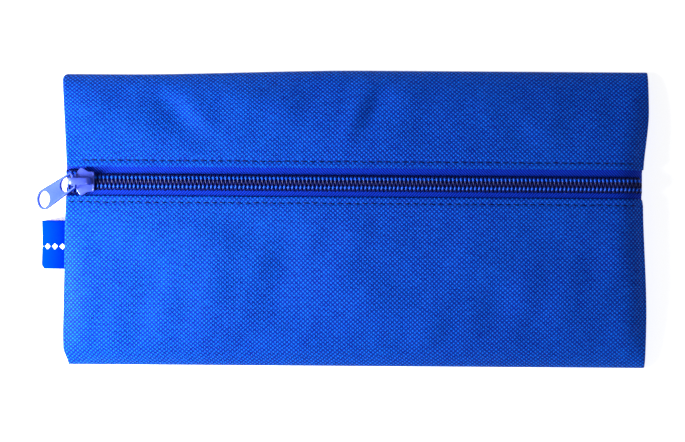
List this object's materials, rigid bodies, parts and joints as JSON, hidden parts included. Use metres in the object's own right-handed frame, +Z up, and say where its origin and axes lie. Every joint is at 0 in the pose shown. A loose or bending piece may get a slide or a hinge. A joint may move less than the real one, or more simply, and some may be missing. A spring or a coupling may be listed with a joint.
{
  "type": "pencil case",
  "caption": "Flat zipped cloth pouch for pens and pencils, with a coil zip along its front, a slider with a swinging pull tab and a folded ribbon label in the side seam.",
  "frame": {"origin": "on the surface the case lies on, under the middle of the pouch", "axes": "+X along the zip from the slider's closed end, +Y across the pouch from the deep panel to the narrow one, +Z up out of the zipped face"},
  "size_m": [0.2295, 0.1109, 0.015],
  "materials": {
    "canvas": "matte",
    "zip_tape": "matte",
    "coil_plastic": "satin",
    "thread": "satin",
    "painted_slider": "satin",
    "satin_label": "satin"
  },
  "bodies": {
    "case": {"back_panel": "canvas", "front_lower_panel": "canvas", "front_upper_panel": "canvas", "lower_hem": "canvas", "upper_hem": "canvas", "topstitch_lower": "thread", "topstitch_upper": "thread", "seam_allowance_left": "canvas", "seam_allowance_right": "canvas", "overlock_thread_left": "thread", "overlock_thread_right": "thread", "label_loop": "satin_label"},
    "upper_lip": {"zip_tape_upper": "zip_tape", "zip_coil_upper": "coil_plastic", "core_cord_upper": "thread", "coil_stitching_upper": "thread"},
    "lower_lip": {"zip_tape_lower": "zip_tape", "zip_coil_lower": "coil_plastic", "core_cord_lower": "thread", "coil_stitching_lower": "thread"},
    "slider": {"slider_body": "painted_slider"},
    "tab": {"pull_tab": "painted_slider"}
  },
  "joints": [
    {"name": "slider_travel", "type": "slide", "parent": "case", "child": "slider", "axis": [1, 0, 0], "range_m": [0, 0.196], "deforming": ["zip_tape_upper", "zip_coil_upper", "core_cord_upper", "coil_stitching_upper", "zip_tape_lower", "zip_coil_lower", "core_cord_lower", "coil_stitching_lower", "lower_hem", "upper_hem", "front_lower_panel", "front_upper_panel"]},
    {"name": "pull_tab_swing", "type": "hinge", "parent": "slider", "child": "tab", "pos_m": [-0.1032, 0.0142, 0.01285], "axis": [-0.3462, 0.9063, -0.2424], "range_deg": [0, 115]},
    {"name": "upper_lip_parting", "type": "slide", "parent": "case", "child": "upper_lip", "axis": [0, 0.8192, 0.5736], "range_m": [0, 0.0085]},
    {"name": "lower_lip_parting", "type": "slide", "parent": "case", "child": "lower_lip", "axis": [0, -0.8192, 0.5736], "range_m": [0, 0.0085]}
  ],
  "couplings": [
    {"joint": "upper_lip_parting", "follows": "slider_travel", "ratio": 0.0433},
    {"joint": "lower_lip_parting", "follows": "slider_travel", "ratio": 0.0433}
  ]
}
